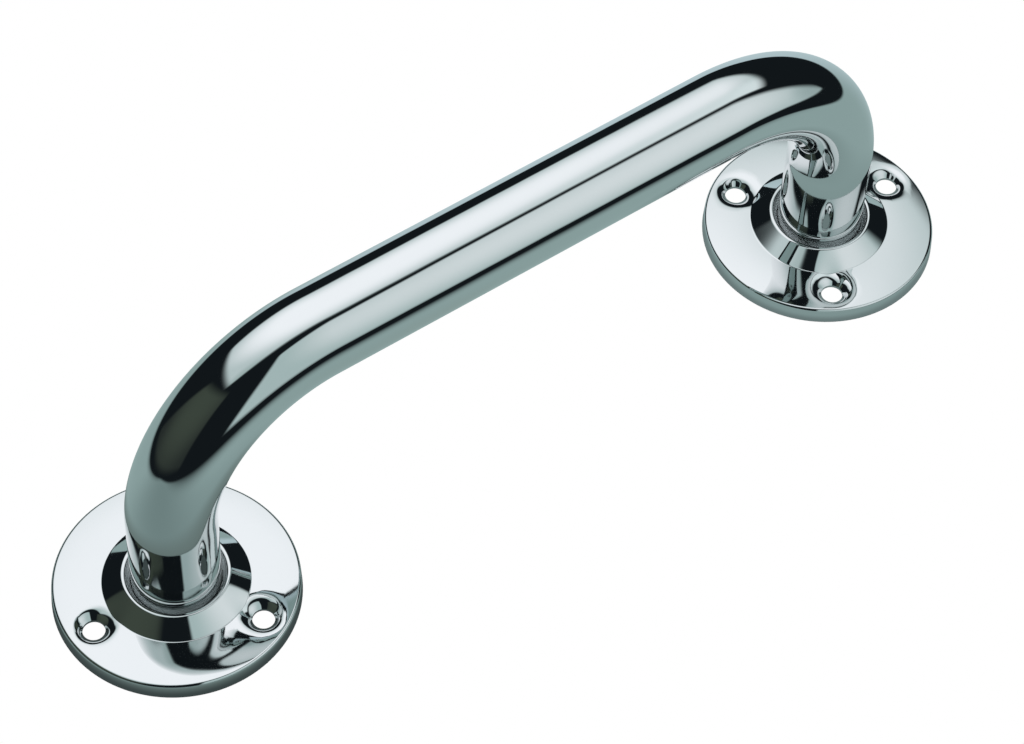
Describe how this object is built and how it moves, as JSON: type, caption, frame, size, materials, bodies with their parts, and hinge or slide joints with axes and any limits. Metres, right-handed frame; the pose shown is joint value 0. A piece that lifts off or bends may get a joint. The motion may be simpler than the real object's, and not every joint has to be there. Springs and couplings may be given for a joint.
{
  "type": "grab rail",
  "caption": "Chrome-plated grab rail: a round tube bent down at both ends and held in raised round wall flanges with countersunk screw holes.",
  "frame": {"origin": "midway between the two flanges, on the mounting surface that their rims stand on", "axes": "+X along the rail, +Z away from the mounting surface, +Y across the rail"},
  "size_m": [0.3, 0.07, 0.0962],
  "materials": {
    "polished_chrome": "mirror polished",
    "plated_steel": "dull zinc plate"
  },
  "bodies": {
    "root": {"rail_tube": "polished_chrome", "flange_left": "polished_chrome", "flange_right": "polished_chrome", "backing_ring_left": "plated_steel", "backing_ring_right": "plated_steel"}
  },
  "joints": []
}
